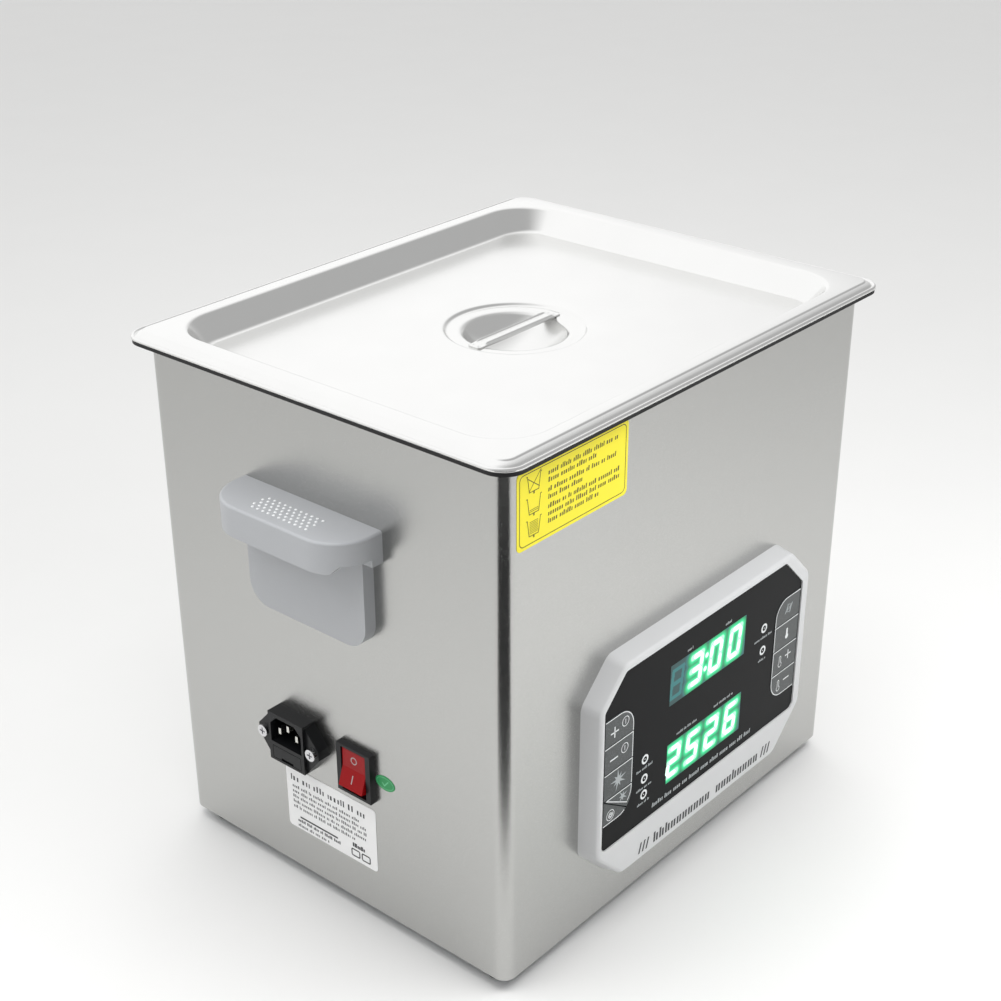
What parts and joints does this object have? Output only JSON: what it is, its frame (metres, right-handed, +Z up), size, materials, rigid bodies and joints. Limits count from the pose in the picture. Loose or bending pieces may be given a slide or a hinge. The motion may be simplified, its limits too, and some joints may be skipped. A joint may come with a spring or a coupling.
{
  "type": "ultrasonic cleaner",
  "caption": "Bench ultrasonic cleaner: stainless tank in a folded housing, lift-off lid, control panel, switch, mains inlet and drain valve.",
  "frame": {"origin": "on the surface under the feet, at the centre of the housing's footprint", "axes": "+Z up, -Y out of the control panel's wall, -X out of the wall with the mains inlet"},
  "size_m": [0.414, 0.288, 0.334],
  "materials": {
    "satin_stainless": "fine-grained satin",
    "lid_stainless": "bright pressed sheet",
    "tank_stainless": "drawn and welded",
    "zinc_plate": "galvanised",
    "black_rubber": "matte",
    "screw_steel": "bright zinc plated",
    "grey_plastic": "fine moulded texture",
    "panel_plastic": "fine moulded texture",
    "black_plastic": "moulded",
    "tinted_window": "dark tinted",
    "key_plastic": "printed",
    "display_green": "lit green segments",
    "lamp_clear": "frosted",
    "red_rocker": "translucent",
    "brass": "turned",
    "tinned_brass": "tinned",
    "fuse_glass": "clear",
    "white_label": "printed",
    "yellow_label": "printed",
    "green_label": "printed",
    "board_green": "solder mask",
    "aluminium": "machined",
    "piezo_ceramic": "fired and silvered",
    "black_steel": "blackened",
    "heater_silicone": "moulded",
    "sensor_brass": "turned",
    "transformer_core": "ferrite and tape",
    "capacitor_sleeve": "heat-shrunk",
    "lever_red": "dipped"
  },
  "bodies": {
    "case": {"housing": "satin_stainless", "base_plate": "zinc_plate", "rubber_feet": "black_rubber", "foot_screws": "screw_steel", "case_screws": "screw_steel", "tank": "tank_stainless", "rim_seal": "black_rubber", "handle_left": "grey_plastic", "handle_right": "grey_plastic", "inlet_body": "black_plastic", "inlet_blades": "tinned_brass", "inlet_screws": "screw_steel", "switch_body": "black_plastic", "switch_terminals": "tinned_brass", "panel_bezel": "panel_plastic", "panel_window": "tinted_window", "display_time": "display_green", "display_temperature": "display_green", "indicator_lamps": "lamp_clear", "control_board": "board_green", "tact_switches": "black_plastic", "rating_label": "white_label", "notice_label": "yellow_label", "check_sticker": "green_label", "transducer_horns": "aluminium", "piezo_rings": "piezo_ceramic", "transducer_back_masses": "black_steel", "transducer_bolts": "screw_steel", "heater_pads": "heater_silicone", "temperature_sensor": "sensor_brass", "generator_board": "board_green", "board_standoffs": "brass", "transformer": "transformer_core", "heat_sink": "aluminium", "power_transistors": "black_plastic", "capacitors": "capacitor_sleeve", "fan_frame": "black_plastic", "drain_fitting": "brass", "drain_seal": "black_rubber", "drain_nut": "brass", "drain_pipe": "tank_stainless", "valve_body": "brass"},
    "lid": {"lid": "lid_stainless", "lid_grip_strap": "lid_stainless"},
    "switch_rocker": {"switch_rocker": "red_rocker"},
    "fuse_drawer": {"fuse_drawer": "black_plastic", "fuse": "fuse_glass"},
    "fan_rotor": {"fan_rotor": "black_plastic"},
    "valve_lever": {"valve_ball": "tinned_brass", "valve_lever": "lever_red"},
    "key_time_up": {"key_time_up": "key_plastic"},
    "key_time_down": {"key_time_down": "key_plastic"},
    "key_pulse": {"key_pulse": "key_plastic"},
    "key_degas": {"key_degas": "key_plastic"},
    "key_sweep": {"key_sweep": "key_plastic"},
    "key_start": {"key_start": "key_plastic"},
    "key_heat": {"key_heat": "key_plastic"},
    "key_temp_up": {"key_temp_up": "key_plastic"},
    "key_temp_down": {"key_temp_down": "key_plastic"}
  },
  "joints": [
    {"name": "lid_lift", "type": "slide", "parent": "case", "child": "lid", "axis": [0, 0, 1], "range_m": [0, 0.15]},
    {"name": "rocker_tilt", "type": "hinge", "parent": "case", "child": "switch_rocker", "pos_m": [-0.159, -0.022, 0.1042], "axis": [0, 1, 0], "range_deg": [-20, 0]},
    {"name": "fuse_drawer_slide", "type": "slide", "parent": "case", "child": "fuse_drawer", "axis": [-1, 0, 0], "range_m": [0, 0.02]},
    {"name": "fan_spin", "type": "hinge", "parent": "case", "child": "fan_rotor", "pos_m": [-0.06, 0.119, 0.065], "axis": [0, 1, 0], "continuous": true},
    {"name": "valve_turn", "type": "hinge", "parent": "case", "child": "valve_lever", "pos_m": [0.185, 0.05, 0.047], "axis": [0, 0, 1], "range_deg": [0, 90]},
    {"name": "key_time_up_press", "type": "slide", "parent": "case", "child": "key_time_up", "axis": [0, 1, 0], "range_m": [0, 0.0004], "stiffness_N_per_m": 2000},
    {"name": "key_time_down_press", "type": "slide", "parent": "case", "child": "key_time_down", "axis": [0, 1, 0], "range_m": [0, 0.0004], "stiffness_N_per_m": 2000},
    {"name": "key_pulse_press", "type": "slide", "parent": "case", "child": "key_pulse", "axis": [0, 1, 0], "range_m": [0, 0.0004], "stiffness_N_per_m": 2000},
    {"name": "key_degas_press", "type": "slide", "parent": "case", "child": "key_degas", "axis": [0, 1, 0], "range_m": [0, 0.0004], "stiffness_N_per_m": 2000},
    {"name": "key_sweep_press", "type": "slide", "parent": "case", "child": "key_sweep", "axis": [0, 1, 0], "range_m": [0, 0.0004], "stiffness_N_per_m": 2000},
    {"name": "key_start_press", "type": "slide", "parent": "case", "child": "key_start", "axis": [0, 1, 0], "range_m": [0, 0.0004], "stiffness_N_per_m": 2000},
    {"name": "key_heat_press", "type": "slide", "parent": "case", "child": "key_heat", "axis": [0, 1, 0], "range_m": [0, 0.0004], "stiffness_N_per_m": 2000},
    {"name": "key_temp_up_press", "type": "slide", "parent": "case", "child": "key_temp_up", "axis": [0, 1, 0], "range_m": [0, 0.0004], "stiffness_N_per_m": 2000},
    {"name": "key_temp_down_press", "type": "slide", "parent": "case", "child": "key_temp_down", "axis": [0, 1, 0], "range_m": [0, 0.0004], "stiffness_N_per_m": 2000}
  ]
}
